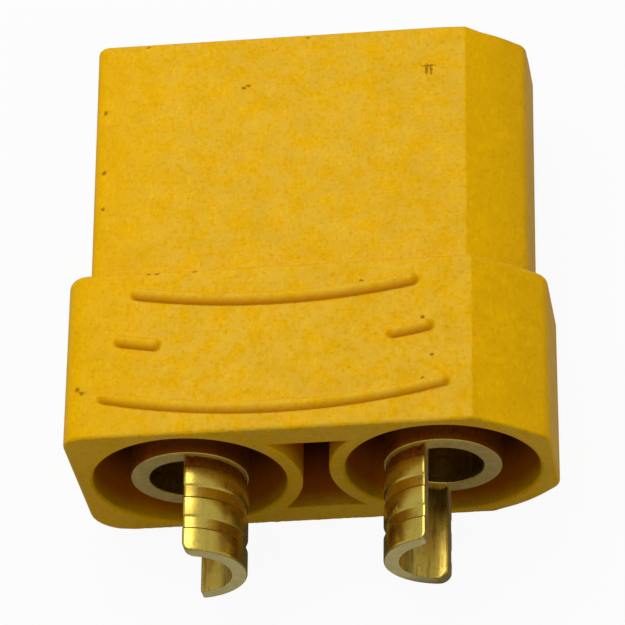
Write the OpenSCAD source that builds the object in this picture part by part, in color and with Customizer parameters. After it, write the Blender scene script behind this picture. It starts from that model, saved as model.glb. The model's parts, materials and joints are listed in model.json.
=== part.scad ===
// Two-pole battery lead connector, socket half: a moulded housing with a stepped nose
// and two turned contacts, each with a solder cup at the wire end.
// The part lies on its lower broad face. X runs along the row of contacts, Y from the
// wire end to the mating end, Z up.

/* [Housing] */
// Width of the grip, along the row of contacts
grip_w = 20.55; // [19.5:0.05:24]
// Thickness of the grip between its broad faces
grip_t = 9.25; // [9.2:0.05:12]
// Length of the grip, from the wire face to the ledge
grip_len = 7.92; // [7.5:0.02:11]
// Length of the whole housing, from the wire face to the mating face
housing_len = 19.66; // [17:0.02:24]
// Step from the grip down to the nose, the same on every side
nose_inset = 0.875; // [0.75:0.025:1.05]
// Draft angle of the grip's walls
grip_draft = 0.5; // [0:0.1:0.8]
// Draft angle of the nose's walls
nose_draft = 0.05; // [0:0.05:0.5]
// Radius of the fillet at the nose's foot
foot_r = 0.2; // [0.1:0.05:0.3]
// Width of each corner chamfer on the polarised end, along X
chamfer_w = 3.05; // [2:0.05:4]
// Depth of each corner chamfer on the polarised end, along the thickness
chamfer_t = 2.35; // [1.5:0.05:2.5]
// Swell of each chamfer above a straight line
chamfer_swell = 0.12; // [0.04:0.02:0.2]
// Corner radius on the square end, upper broad face
upper_corner_r = 1; // [0.6:0.1:1.4]
// Corner radius on the square end, lower broad face
lower_corner_r = 1.7; // [0.6:0.1:2]
// Radius that breaks the edges between the chamfers and the broad faces
chamfer_edge_r = 0.4; // [0.2:0.1:0.8]
// Radius of the edges between the chamfers and the end wall
end_edge_r = 1; // [0.4:0.1:1.1]
// Radius round the ledge end of the grip
ledge_r = 0.4; // [0.2:0.05:0.4]
// Radius round the tip of the nose
tip_r = 0.2; // [0.1:0.05:0.5]
// Broken edge round the wire face
wire_edge = 0.12; // [0.05:0.01:0.2]

/* [Wire wells] */
// Radius of the round well that surrounds each solder cup
well_r = 4.15; // [3.8:0.05:4.2]
// Depth of the wells and of the pocket between them
well_depth = 5.2; // [3.5:0.1:5.6]
// Wall between a well and the pocket, where the pocket follows the well
web_t = 0.7; // [0.5:0.05:0.8]
// Height of the pocket between the wells, across the thickness
pocket_t = 6.3; // [4:0.1:7]

/* [Raised bars] */
// Height of the raised bars above the broad faces
bar_h = 0.25; // [0.1:0.01:0.4]
// Width of a raised bar at its foot
bar_w = 0.46; // [0.3:0.02:0.7]
// Radius of the bars' bow
bow_r = 33; // [24:1:40]
// Lowest point of the bar nearest the wire face, from that face
low_bar_y = 0.99; // [0.8:0.01:1.4]
// Lowest point of the middle bar, from the wire face
mid_bar_y = 3.8; // [3.4:0.05:4.2]
// Lowest point of the bar nearest the ledge, from the wire face
high_bar_y = 6.15; // [5.6:0.05:6.3]
// Length of the bar nearest the wire face, end to end
low_bar_len = 14.95; // [10:0.05:15.2]
// Length of the bar nearest the ledge, end to end
high_bar_len = 12.3; // [8:0.1:14]
// Length of the middle bar over both of its dashes, end to end
mid_bar_len = 13.6; // [11:0.1:14.2]
// Bare gap between the two dashes of the middle bar
mid_bar_gap = 9.65; // [6:0.05:9.8]
// Shift of the bars off the middle of the broad face, towards the chamfered end
bar_shift = 0.3; // [0:0.05:0.5]

/* [Contacts] */
// Spacing of the two contacts
pitch = 10.9; // [10.4:0.1:12]
// Set of the row of contacts below the middle of the thickness
row_drop = 0.1; // [0:0.05:0.2]
// Outer radius of the solder cup
cup_outer_r = 2.53; // [2.3:0.01:2.7]
// Bore radius of the solder cup
cup_r = 1.72; // [1.5:0.01:1.8]
// Depth of the solder cup, to the start of its drilled point
cup_depth = 5; // [3.5:0.1:5.4]
// Set-back of the cup's mouth from the wire face
cup_set_back = 0.16; // [0:0.02:0.5]
// Length of the half-round tongue beyond the cup's mouth
tongue_len = 4.5; // [3:0.1:6]
// Inner radius of the tongue
tongue_inner_r = 1.88; // [1.75:0.01:2]
// Distance of the tongue's cut faces from the contact's axis
tongue_cut = 0.2; // [0:0.05:0.5]
// Turn of the tongue of the contact at the square end, in degrees
square_end_turn = -1.5; // [-10:0.5:10]
// Turn of the tongue of the contact at the chamfered end, in degrees
chamfered_end_turn = -5; // [-10:0.5:10]
// Depth of the shallow turned grooves round the cup
groove_depth = 0.08; // [0.04:0.01:0.15]
// Width of a turned groove
groove_w = 0.6; // [0.3:0.05:0.9]
// Spacing of the turned grooves
groove_pitch = 1.43; // [1.2:0.01:1.6]
// Number of turned grooves
groove_count = 3; // [1:1:3]
// Outer radius of the socket barrel
barrel_r = 2.85; // [2.7:0.01:2.9]
// Bore radius of the socket
socket_r = 2.25; // [2:0.01:2.4]
// Depth of the socket's round wall
socket_depth = 9.8; // [7:0.1:10]
// Set-back of the socket's rim from the mating face
rim_set_back = 0.4; // [0.2:0.05:0.8]
// Lead-in chamfer at the socket's rim
lead_in = 0.2; // [0.1:0.01:0.3]
// Radius of the collar that stops the contact in the housing
collar_r = 3.15; // [3:0.01:3.3]
// Length of the collar
collar_len = 1.2; // [0.6:0.1:1.5]
// Running clearance between a contact and its seat, on the radius
seat_gap = 0.02; // [0.01:0.01:0.05]

/* [Hidden] */

// $fn above 12 keeps every cylinder a true one
$fn = 96;
// Run-out of a cut past the face that it opens through
past = 1;
// Overlap of solids that are joined into one
sink = 0.15;
// Half angle of a twist drill's point
drill_half_angle = 59;
// Steps in each small rounded corner, and in the rounding of a rim
corner_steps = 5;
end_steps = 4;
swell_steps = 5;
rim_steps = 4;
fillet_steps = 3;
// Start of the nose's fillet below the ledge, so that no edge lies in the ledge
root_gap = 0.01;

housing_colour = [0.93, 0.66, 0.08];
contact_colour = [0.78, 0.66, 0.32];

// Heights along the housing, from the wire face
collar_seat = well_depth + collar_len;
rim_level = housing_len - rim_set_back;
tongue_tip = cup_set_back - tongue_len;
// The whole part is centred along Y and stands on its lower bars
mid_level = (housing_len + tongue_tip) / 2;
axis_height = grip_t / 2 + bar_h;
// Cross-section of a bar: across it in half widths, and up from the face
bar_section = [
    [1, -sink], [1, 0], [0.85, bar_h * 0.55], [0.45, bar_h],
    [-0.45, bar_h], [-0.85, bar_h * 0.55], [-1, 0], [-1, -sink]
];
// The bars keep to the flat between the square end and the chamfers
bar_centre = bar_shift - chamfer_w / 2;

// Unit vector along v
function along(v) = v / norm(v);

// Points of the arc of radius r that rounds corner q between neighbours p and s
function arc_at(p, q, s, r, steps) =
    let (a = along(p - q), b = along(s - q))
    let (half = acos(a * b) / 2)
    let (c = q + along(a + b) * r / sin(half))
    let (from = q + a * r / tan(half) - c, to = q + b * r / tan(half) - c)
    let (turn = acos(min(1, from * to / (r * r))))
    [for (i = [0 : steps])
        c + (from * sin(turn * (1 - i / steps)) + to * sin(turn * i / steps)) / sin(turn)];

// Outline of the housing, drawn in by inset on every side and with its corners rounded
function outline(inset, upper_r, lower_r, edge_r, end_r) =
    let (x = grip_w / 2 - inset, y = grip_t / 2 - inset)
    let (lean = atan2(chamfer_t, chamfer_w))
    let (cx = grip_w / 2 - chamfer_w - inset * tan(lean / 2))
    let (cy = grip_t / 2 - chamfer_t - inset * tan((90 - lean) / 2))
    let (mid = [(cx + x) / 2, (cy + y) / 2] + chamfer_swell * [sin(lean), cos(lean)] * 2)
    let (mid_low = [mid[0], mid[1]], mid_up = [mid[0], -mid[1]])
    let (span = norm([x - cx, y - cy]))
    let (swell_r = span * span / (16 * chamfer_swell))
    let (up = [[-x, -y], [cx, -y], mid_up, [x, -cy]], low = [[x, cy], mid_low, [cx, y], [-x, y]])
    concat(
        arc_at(low[3], up[0], up[1], upper_r, corner_steps),
        arc_at(up[0], up[1], up[2], edge_r, 2),
        arc_at(up[1], up[2], up[3], swell_r, swell_steps),
        arc_at(up[2], up[3], low[0], end_r, end_steps),
        arc_at(up[3], low[0], low[1], end_r, end_steps),
        arc_at(low[0], low[1], low[2], swell_r, swell_steps),
        arc_at(low[1], low[2], low[3], edge_r, 2),
        arc_at(low[2], low[3], up[0], lower_r, corner_steps)
    );

// Solid whose skin runs through a list of rings of points, all with the same count
module skin(rings) {
    n = len(rings[0]);
    last = len(rings) - 1;
    points = [for (ring = rings) for (p = ring) p];
    walls = [for (k = [0 : last - 1]) for (i = [0 : n - 1])
        [k * n + i, (k + 1) * n + i, (k + 1) * n + (i + 1) % n, k * n + (i + 1) % n]];
    ends = [[for (i = [0 : n - 1]) i], [for (i = [n - 1 : -1 : 0]) last * n + i]];
    polyhedron(points, concat(walls, ends), convexity = 4);
}

// Solid through stations, each a height and an inset. The corner radii hold at inset base
// and shrink as the outline is drawn in further.
module drawn_in(stations, base, upper_r, lower_r, end_r) {
    skin([for (s = stations)
        let (drawn = max(0, s[1] - base))
        let (shape = outline(s[1], max(0.1, upper_r - drawn), max(0.1, lower_r - drawn),
                             max(0.05, chamfer_edge_r - drawn), max(0.05, end_r - drawn)))
        [for (p = shape) [p[0], p[1], s[0]]]]);
}

// Stations of a rim of radius r that ends at height z, where the wall stands at inset d
function rim(z, d, r) = [for (i = [0 : rim_steps]) let (a = 90 * i / rim_steps)
    [z - r * (1 - sin(a)), d + r * (1 - cos(a))]];

// Grip, from the broken edge at the wire face to the rounded ledge
module grip() {
    function wall(z) = z * tan(grip_draft);
    edge = [[0, wire_edge], [wire_edge, wall(wire_edge)]];
    drawn_in(concat(edge, rim(grip_len, wall(grip_len), ledge_r)), 0,
             upper_corner_r, lower_corner_r, end_edge_r);
}

// Nose, rooted inside the grip, with the fillet at its foot and the rounded tip
module nose() {
    function wall(z) = nose_inset + z * tan(nose_draft);
    flare = [for (i = [0 : fillet_steps]) let (a = 90 * i / fillet_steps)
        [grip_len + foot_r * (1 - cos(a)) - (i == 0 ? root_gap : 0),
         wall(grip_len) - foot_r * (1 - sin(a))]];
    root = [[collar_seat, wall(collar_seat)]];
    drawn_in(concat(root, flare, rim(housing_len, wall(housing_len), tip_r)), nose_inset,
             upper_corner_r * 0.6, lower_corner_r * 0.5, end_edge_r * 0.85);
}

// Places its children, drawn with Z towards the mating end, as the part lies
module lie_down() {
    translate([0, -mid_level, axis_height]) rotate([-90, 0, 0]) children();
}

// Places its children on a contact's axis; side is -1 at the square end, 1 at the other
module on_contact(side) {
    translate([side * pitch / 2, row_drop, 0]) children();
}

// A rounded bar on the plane of a broad face, bowed towards the wire face. Its lowest point
// is at height y, and it spans from x = a to x = b on the bow. It narrows to round ends.
module bar(y, a, b) {
    half = bar_w / 2;
    from = asin(a / bow_r);
    to = asin(b / bow_r);
    end = half / bow_r * 180 / PI;
    body_steps = ceil((to - from) / 2);
    tip = [for (e = [0.06, 0.3, 0.6]) [e * end, sqrt(1 - (1 - e) * (1 - e))]];
    stations = concat(
        [for (e = tip) [from + e[0], e[1]]],
        [for (i = [0 : body_steps]) [from + end + (to - from - 2 * end) * i / body_steps, 1]],
        [for (i = [2 : -1 : 0]) [to - tip[i][0], tip[i][1]]]
    );
    translate([bar_centre, 0, y + bow_r]) skin([for (s = stations)
        [for (p = bar_section)
            let (r = bow_r - p[0] * half * s[1])
            [r * sin(s[0]), -p[1], -r * cos(s[0])]]]);
}

// The raised bars of the upper broad face: two bows, and two dashes with a bare place between
module bars() {
    translate([0, -grip_t / 2, 0]) {
        bar(low_bar_y, -low_bar_len / 2, low_bar_len / 2);
        bar(high_bar_y, -high_bar_len / 2, high_bar_len / 2);
        bar(mid_bar_y, -mid_bar_len / 2, -mid_bar_gap / 2);
        bar(mid_bar_y, mid_bar_gap / 2, mid_bar_len / 2);
    }
}

// Pocket between the wells, whose long walls follow the wells
module pocket() {
    translate([0, row_drop, -past]) difference() {
        translate([-pitch / 2, -pocket_t / 2, 0]) cube([pitch, pocket_t, well_depth + past]);
        for (side = [-1, 1]) {
            translate([side * pitch / 2, 0, -past]) cylinder(r = well_r + web_t, h = well_depth + 3 * past);
        }
    }
}

// Space that a contact fills in the housing, with the well round its cup
module contact_seat() {
    translate([0, 0, -past]) cylinder(r = well_r, h = well_depth + past);
    cylinder(r = collar_r + seat_gap, h = collar_seat);
    cylinder(r = barrel_r + seat_gap, h = housing_len + past);
}

module housing() {
    color(housing_colour) lie_down() difference() {
        union() {
            grip();
            nose();
            bars();
            mirror([0, 1, 0]) bars();
        }
        on_contact(-1) contact_seat();
        on_contact(1) contact_seat();
        pocket();
    }
}

// Turned outside of a contact: tongue and cup with their grooves, collar and barrel
module contact_blank() {
    difference() {
        translate([0, 0, tongue_tip]) cylinder(r = cup_outer_r, h = well_depth - tongue_tip);
        for (i = [0 : groove_count - 1]) {
            translate([0, 0, cup_set_back - groove_w - i * groove_pitch]) rotate_extrude() {
                translate([cup_outer_r - groove_depth, 0]) square([past, groove_w]);
            }
        }
    }
    translate([0, 0, well_depth]) cylinder(r = collar_r, h = collar_len);
    translate([0, 0, collar_seat]) cylinder(r = barrel_r, h = rim_level - collar_seat);
}

// Hole with a drilled point, cut towards +Z from z = 0
module drilled(r, depth) {
    cylinder(r = r, h = depth);
    translate([0, 0, depth]) cylinder(r1 = r, r2 = 0, h = r / tan(drill_half_angle));
}

// Contact on its own axis, with its half-round tongue on the side of +X
module contact(turn) {
    rotate([0, 0, turn]) difference() {
        contact_blank();
        translate([0, 0, cup_set_back]) drilled(cup_r, cup_depth);
        translate([0, 0, tongue_tip - past]) cylinder(r = tongue_inner_r, h = tongue_len + past);
        translate([tongue_cut - 2 * cup_outer_r, -cup_outer_r - past, tongue_tip - past])
            cube([2 * cup_outer_r, 2 * (cup_outer_r + past), tongue_len + past]);
        translate([0, 0, rim_level]) mirror([0, 0, 1]) drilled(socket_r, socket_depth + lead_in);
        translate([0, 0, rim_level - lead_in]) cylinder(r1 = socket_r, r2 = socket_r + lead_in, h = lead_in);
    }
}

module square_end_contact() {
    color(contact_colour) lie_down() on_contact(-1) contact(square_end_turn);
}

module chamfered_end_contact() {
    color(contact_colour) lie_down() on_contact(1) mirror([1, 0, 0]) contact(-chamfered_end_turn);
}

housing();
square_end_contact();
chamfered_end_contact();
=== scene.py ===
"""Looks of the two-pole battery lead connector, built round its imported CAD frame.

The housing and the two contacts are modelled again as fine meshes that stand for the CAD
solids: rounded rims and feet, bowed bars, worn edges and turned bands. Lengths are in
millimetres until a mesh is made, and points are (x, y, z) in the part's own frame.
"""

import json
import math

import bmesh
import bpy
import numpy as np
from mathutils import Matrix, Vector, noise
from mathutils.geometry import delaunay_2d_cdt


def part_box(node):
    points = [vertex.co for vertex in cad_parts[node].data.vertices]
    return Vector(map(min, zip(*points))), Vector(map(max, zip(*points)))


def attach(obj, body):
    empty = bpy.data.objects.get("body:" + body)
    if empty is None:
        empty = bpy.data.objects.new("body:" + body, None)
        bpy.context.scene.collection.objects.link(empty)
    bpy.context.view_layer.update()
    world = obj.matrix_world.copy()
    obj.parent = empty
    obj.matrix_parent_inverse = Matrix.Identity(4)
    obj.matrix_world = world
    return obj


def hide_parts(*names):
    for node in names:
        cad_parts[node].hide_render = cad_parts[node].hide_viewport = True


MM = 0.001
# Point attribute with the share of painted shade on the bars' flanks.
FLANK = "flank_painted_shade"

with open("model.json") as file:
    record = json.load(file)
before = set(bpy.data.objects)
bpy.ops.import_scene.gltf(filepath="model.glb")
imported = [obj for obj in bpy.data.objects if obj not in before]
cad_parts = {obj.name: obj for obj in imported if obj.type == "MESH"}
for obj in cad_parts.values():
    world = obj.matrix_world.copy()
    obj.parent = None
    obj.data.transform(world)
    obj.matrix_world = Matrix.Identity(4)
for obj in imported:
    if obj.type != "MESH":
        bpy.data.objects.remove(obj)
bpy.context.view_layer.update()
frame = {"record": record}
MOUNTS = {m["name"]: m for m in frame["record"]["mounts"]}


def mount_place(name):
    """Place of a mount, in millimetres."""
    return np.array(MOUNTS[name]["pos_m"]) / MM


def mount_size(name, size):
    """One of a mount's stated sizes, in millimetres."""
    return MOUNTS[name]["dims"][size]


# ---- Sizes that the frame gives ----
HOUSING_LOW, HOUSING_HIGH = (np.array(corner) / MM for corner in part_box("housing"))
WIRE_FACE = HOUSING_LOW[1]
MATING_FACE = HOUSING_HIGH[1]
LEDGE = mount_place("ledge")[1]
AXIS_HEIGHT = (HOUSING_LOW[2] + HOUSING_HIGH[2]) / 2
CONTACT_HEIGHT = mount_place("square_end_cup")[2]
CONTACT_X = mount_place("chamfered_end_cup")[0]
CUP_MOUTH = mount_place("square_end_cup")[1]
CUP_R = mount_size("square_end_cup", "r_mm")
CUP_DEPTH = mount_size("square_end_cup", "length_mm")
SOCKET_BORE = mount_place("square_end_socket")[1]
SOCKET_R = mount_size("square_end_socket", "r_mm")
SOCKET_DEPTH = mount_size("square_end_socket", "length_mm")
TONGUE_TIP = np.array(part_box("square_end_contact")[0])[1] / MM

# ---- Housing ----
GRIP_DRAFT = math.tan(math.radians(0.5))
NOSE_DRAFT = math.tan(math.radians(0.05))
BAR_H = 0.25
GRIP_W = HOUSING_HIGH[0] - HOUSING_LOW[0]
GRIP_T = HOUSING_HIGH[2] - HOUSING_LOW[2] - 2 * BAR_H
NOSE_INSET = 0.875
NOSE_UPPER_SHARE = 0.6
NOSE_LOWER_SHARE = 0.5
NOSE_END_SHARE = 0.85
CHAMFER_W = 3.05
CHAMFER_T = 2.35
UPPER_SWELL = 0.08
LOWER_SWELL = 0.15
CHAMFER_EDGE_R = 0.25
LOWER_SOFTER = 1.0
TIP_SAG = 0.14
TIP_SAG_LEN = 1.5
END_EDGE_R = 1.0
UPPER_CORNER_R = 1.0
LOWER_CORNER_R = 1.7
LEDGE_R = 0.4
TIP_R = 0.2
FOOT_R = 0.2
WIRE_EDGE_R = 0.14
WIRE_EDGE_UNEVEN = 0.045
WIRE_EDGE_PULL = 0.025
WAVE_SIZE = 0.35
RIPPLE_SIZE = 0.14
WELL_R = 4.15
WELL_DEPTH = 5.2
WELL_RIM_R = 0.16
WELL_FLOOR_R = 0.3
WEB_T = 0.7
POCKET_T = 6.3
POCKET_RIM_R = 0.1
COLLAR_SEAT_R = 3.17
COLLAR_LEN = 1.2
BARREL_SEAT_R = 2.87
COLLAR_SEAT_BREAK = 0.05
BARREL_SEAT_BREAK = 0.02

# ---- Raised bars ----
BAR_HALF_W = 0.3
BAR_FULLNESS = 0.85
BAR_CLEAR = 0.33
BROAD_DEPTH = 0.3
FLANK_PROBE = 0.03
BOW_R = 33
BOW_CENTRE = -1.225
BOW_LIMIT = 12
LOW_BAR = 1.06
MIDDLE_BAR = 3.87
HIGH_BAR = 6.22
BAR_ENDS = (
    (LOW_BAR, -7.475, 7.475),
    (HIGH_BAR, -6.15, 6.15),
    (MIDDLE_BAR, -6.8, -4.825),
    (MIDDLE_BAR, 4.825, 6.8),
)

# ---- Contacts ----
CUP_OUTER_R = 2.53
TONGUE_INNER_R = 1.88
TONGUE_CUT = 0.2
TONGUE_TURN = {"square_end_contact": -1.5, "chamfered_end_contact": -6.5}
TIP_ROUND = {"square_end_contact": (0.36, 0.1), "chamfered_end_contact": (0.3, 0.55)}
TIP_SLANT = {"square_end_contact": 0.0, "chamfered_end_contact": 0.12}
TIP_SLANT_LEN = 1.0
GROOVE_DEPTH = 0.08
GROOVE_W = 0.6
GROOVE_PITCH = 1.43
GROOVE_COUNT = 3
COLLAR_R = 3.15
BARREL_R = 2.85
LEAD_IN = 0.2
DRILL_POINT = 31
DRILL_TIP_R = 0.02
TIP_ROW_RISES = (0.45, 0.36, 0.28, 0.2, 0.13, 0.07)
SOCKET_RIM = SOCKET_BORE + LEAD_IN
EDGE_BREAK = 0.05

# ---- How finely the meshes are divided: round the housing, along it, round the contacts ----
FLAT_STEPS = 168
SIDE_STEPS = 24
END_STEPS = 16
CORNER_STEPS = 8
EDGE_STEPS = 4
END_EDGE_STEPS = 8
SWELL_STEPS = 12
POCKET_SIDE_STEPS = 32
POCKET_TOP_STEPS = 12
ROUND_STEPS = 4
LEDGE_STEPS = 8
TIP_STEPS = 6
WIRE_ROWS = 6
ROWS_BETWEEN_BARS = 14
NOSE_ROWS = 30
HOLE_ROWS = 8
LATHE_STEPS = 144
OUTER_STEPS = 64
INNER_STEPS = 56

# ---- View: where the camera looks, from where (degrees and millimetres), and its lens ----
VIEW_TARGET = (-0.194, 0.084, 5.014)
VIEW_AZIMUTH = 15.154
VIEW_ELEVATION = 61.359
VIEW_ROLL = -16.578
VIEW_DISTANCE = 208.6
LENS = 277.0


# ==== Meshes ====


class Shell:
    """Points and faces of a mesh while it is put together, in millimetres."""

    def __init__(self):
        self.points = []
        self.faces = []
        self.slots = []
        self.count = 0
        self.flanks = None

    def add_points(self, points):
        """Adds points and returns their numbers."""
        start = self.count
        self.points.append(np.asarray(points, float))
        self.count += len(points)
        return np.arange(start, self.count)

    def bridge(self, ring_a, ring_b, slot):
        """Joins two equally long rings with quads, of one slot or of one slot each."""
        slots = np.broadcast_to(slot, len(ring_a))
        for i in range(len(ring_a)):
            j = (i + 1) % len(ring_a)
            self.faces.append((ring_a[i], ring_a[j], ring_b[j], ring_b[i]))
            self.slots.append(int(slots[i]))

    def loft(self, rings, slot):
        """Adds rings of points, joins each to the next and returns their numbers."""
        numbers = [self.add_points(ring) for ring in rings]
        for ring_a, ring_b in zip(numbers, numbers[1:]):
            self.bridge(ring_a, ring_b, slot)
        return numbers

    def fill_face(self, outer, holes, slot):
        """Fills the flat face, square to Y, between an outer ring and its holes."""
        everything = np.concatenate(self.points)
        rings = [outer, *holes]
        numbers = np.concatenate(rings)
        flat = everything[numbers][:, (0, 2)]
        edges = []
        start = 0
        for ring in rings:
            n = len(ring)
            edges += [(start + i, start + (i + 1) % n) for i in range(n)]
            start += n
        made = delaunay_2d_cdt([Vector(p) for p in flat], edges, [], 1, 1e-7)
        source = [origin[0] for origin in made[3]]
        hole_outlines = [everything[ring][:, (0, 2)] for ring in holes]
        for triangle in made[2]:
            corners = [source[i] for i in triangle]
            centre = flat[corners].mean(0)
            if not any(is_inside(centre, hole) for hole in hole_outlines):
                self.faces.append(tuple(numbers[corners]))
                self.slots.append(slot)

    def to_object(self, name, materials):
        """Makes the mesh object, smooth, with normals that keep flat faces flat."""
        mesh = bpy.data.meshes.new(name)
        mesh.from_pydata(np.concatenate(self.points) * MM, [], self.faces)
        # The share of painted shade on the bars' flanks that face the wire end.
        if self.flanks is not None:
            flank = mesh.attributes.new(FLANK, "FLOAT", "POINT")
            flank.data.foreach_set("value", self.flanks)
        mesh.polygons.foreach_set("material_index", self.slots)
        for material in materials:
            mesh.materials.append(material)
        made = bpy.data.objects.new(name, mesh)
        bpy.context.scene.collection.objects.link(made)
        point_faces_outward(mesh)
        set_area_normals(mesh)
        return made


def is_inside(point, outline):
    """Whether a point lies inside a closed outline."""
    x, y = point
    ax, ay = outline[:, 0], outline[:, 1]
    bx, by = np.roll(ax, -1), np.roll(ay, -1)
    crosses = (ay > y) != (by > y)
    with np.errstate(divide="ignore", invalid="ignore"):
        at = ax + (y - ay) * (bx - ax) / (by - ay)
    return bool(np.count_nonzero(crosses & (at > x)) % 2)


def point_faces_outward(mesh):
    """Turns every face of a closed mesh outwards."""
    work = bmesh.new()
    work.from_mesh(mesh)
    bmesh.ops.recalc_face_normals(work, faces=work.faces)
    work.to_mesh(mesh)
    work.free()


def set_area_normals(mesh):
    """Smooth shading in which large faces rule the normals of their corners."""
    mesh.polygons.foreach_set("use_smooth", [True] * len(mesh.polygons))
    normals = np.zeros((len(mesh.vertices), 3))
    for face in mesh.polygons:
        weighted = np.array(face.normal) * face.area
        for vertex in face.vertices:
            normals[vertex] += weighted
    lengths = np.linalg.norm(normals, axis=1, keepdims=True)
    normals /= np.maximum(lengths, 1e-20)
    mesh.normals_split_custom_set_from_vertices(normals.tolist())
    mesh.update()


def circle_ring(centre_x, centre_z, radius, y):
    """Points of a circle round an axis along Y."""
    turn = np.linspace(0, 2 * math.pi, LATHE_STEPS, endpoint=False)
    x = centre_x + radius * np.cos(turn)
    z = centre_z + radius * np.sin(turn)
    return np.column_stack([x, np.full(LATHE_STEPS, y), z])


def quarter(steps):
    """Angles from 0 to a right angle, in so many steps."""
    return np.linspace(0, math.pi / 2, steps + 1)


# ==== Housing ====

SKIN, HOLLOW = 0, 1


def corner_arc(before, corner, after, radius, steps):
    """Points of the arc that rounds a corner between its two neighbours."""
    before, corner, after = (np.array(p, float) for p in (before, corner, after))
    a = (before - corner) / np.linalg.norm(before - corner)
    b = (after - corner) / np.linalg.norm(after - corner)
    half = math.acos(np.dot(a, b)) / 2
    reach = radius / math.tan(half)
    centre = corner + (a + b) / np.linalg.norm(a + b) * radius / math.sin(half)
    start, end = corner + a * reach - centre, corner + b * reach - centre
    turn = math.acos(min(1, np.dot(start, end) / radius**2))
    share = np.linspace(0, 1, steps + 1)[:, None]
    swept = start * np.sin(turn * (1 - share)) + end * np.sin(turn * share)
    return centre + swept / math.sin(turn)


def outline(inset, upper_r, lower_r, edge_r, end_r):
    """Section of the housing, drawn in by inset: points (x, z) from the axis, clockwise.

    The lower chamfer runs into the broad face more softly than the upper one.
    """
    x, z = GRIP_W / 2 - inset, GRIP_T / 2 - inset
    lean = math.atan2(CHAMFER_T, CHAMFER_W)
    cx = GRIP_W / 2 - CHAMFER_W - inset * math.tan(lean / 2)
    cz = GRIP_T / 2 - CHAMFER_T - inset * math.tan((math.pi / 2 - lean) / 2)
    chord = np.array([(cx + x) / 2, (cz + z) / 2])
    outward = np.array([math.sin(lean), math.cos(lean)])
    mid = chord + 2 * UPPER_SWELL * outward
    mid_low = (chord + 2 * LOWER_SWELL * outward) * (1, -1)
    span = math.hypot(x - cx, z - cz)
    upper_swell_r = span**2 / (16 * UPPER_SWELL)
    lower_swell_r = span**2 / (16 * LOWER_SWELL)
    upper = [(-x, z), (cx, z), mid, (x, cz)]
    lower = [(x, -cz), mid_low, (cx, -z), (-x, -z)]
    arcs = [
        corner_arc(lower[3], upper[0], upper[1], upper_r, CORNER_STEPS),
        corner_arc(upper[0], upper[1], upper[2], edge_r, EDGE_STEPS),
        corner_arc(upper[1], upper[2], upper[3], upper_swell_r, SWELL_STEPS),
        corner_arc(upper[2], upper[3], lower[0], end_r, END_EDGE_STEPS),
        corner_arc(upper[3], lower[0], lower[1], end_r, END_EDGE_STEPS),
        corner_arc(lower[0], lower[1], lower[2], lower_swell_r, SWELL_STEPS),
        corner_arc(lower[1], lower[2], lower[3], edge_r + LOWER_SOFTER, EDGE_STEPS * 2),
        corner_arc(lower[2], lower[3], upper[0], lower_r, CORNER_STEPS),
    ]
    straights = [FLAT_STEPS, 1, 1, END_STEPS, 1, 1, FLAT_STEPS, SIDE_STEPS]
    points = []
    for i, (arc, steps) in enumerate(zip(arcs, straights)):
        start, end = arc[-1], arcs[(i + 1) % len(arcs)][0]
        inner = np.linspace(0, 1, steps + 1)[1:-1, None]
        points += [arc, start + (end - start) * inner]
    return np.concatenate(points)


def grip_outline(inset):
    """Section of the grip."""
    return outline(
        inset,
        max(0.1, UPPER_CORNER_R - inset),
        max(0.1, LOWER_CORNER_R - inset),
        max(0.05, CHAMFER_EDGE_R - inset),
        max(0.05, END_EDGE_R - inset),
    )


def nose_outline(inset):
    """Section of the nose, whose corners are tighter than the grip's."""
    drawn = inset - NOSE_INSET
    return outline(
        inset,
        max(0.1, NOSE_UPPER_SHARE * UPPER_CORNER_R - drawn),
        max(0.1, NOSE_LOWER_SHARE * LOWER_CORNER_R - drawn),
        max(0.05, CHAMFER_EDGE_R - drawn),
        max(0.05, NOSE_END_SHARE * END_EDGE_R - drawn),
    )


def bow(x):
    """Rise of the bars' bow above its lowest point."""
    return BOW_R - np.sqrt(BOW_R**2 - np.clip(x - BOW_CENTRE, -BOW_LIMIT, BOW_LIMIT) ** 2)


def bar_height(x, along):
    """Height of the raised bars over a broad face, at x and at a length along the grip."""
    height = np.zeros_like(x)
    for low, start, end in BAR_ENDS:
        centre = low + BOW_R
        turn = np.arctan2(x - BOW_CENTRE, centre - along)
        first = math.asin((start + BAR_HALF_W) / BOW_R)
        last = math.asin((end - BAR_HALF_W) / BOW_R)
        held = np.clip(turn, first, last)
        near_x = BOW_CENTRE + BOW_R * np.sin(held)
        near = centre - BOW_R * np.cos(held)
        off = np.hypot(x - near_x, along - near) / BAR_HALF_W
        rise = np.clip(1 - off**2, 0, 1) ** BAR_FULLNESS
        height = np.maximum(height, BAR_H * rise)
    return height


def flank_painted_shade_share(points):
    """How far down the flank of a raised bar that faces the wire end each point lies: the share
    of painted shade there.
    """
    x, y, z = points.T
    along = y - WIRE_FACE
    height = bar_height(x, along) / BAR_H
    rising = bar_height(x, along + FLANK_PROBE) > bar_height(x, along - FLANK_PROBE)
    outside = np.abs(z - AXIS_HEIGHT) > GRIP_T / 2 - BROAD_DEPTH
    return np.where(outside & rising & (height > 0.05), np.clip(1.3 - 1.2 * height, 0, 1), 0)


def rough(points, size, seed=0.0):
    """Smooth noise between about -1 and 1 at each point, of features that size."""
    shift = Vector((seed, seed * 0.7, -seed))
    return np.array([noise.noise(Vector(p) / size + shift) for p in points])


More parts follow.
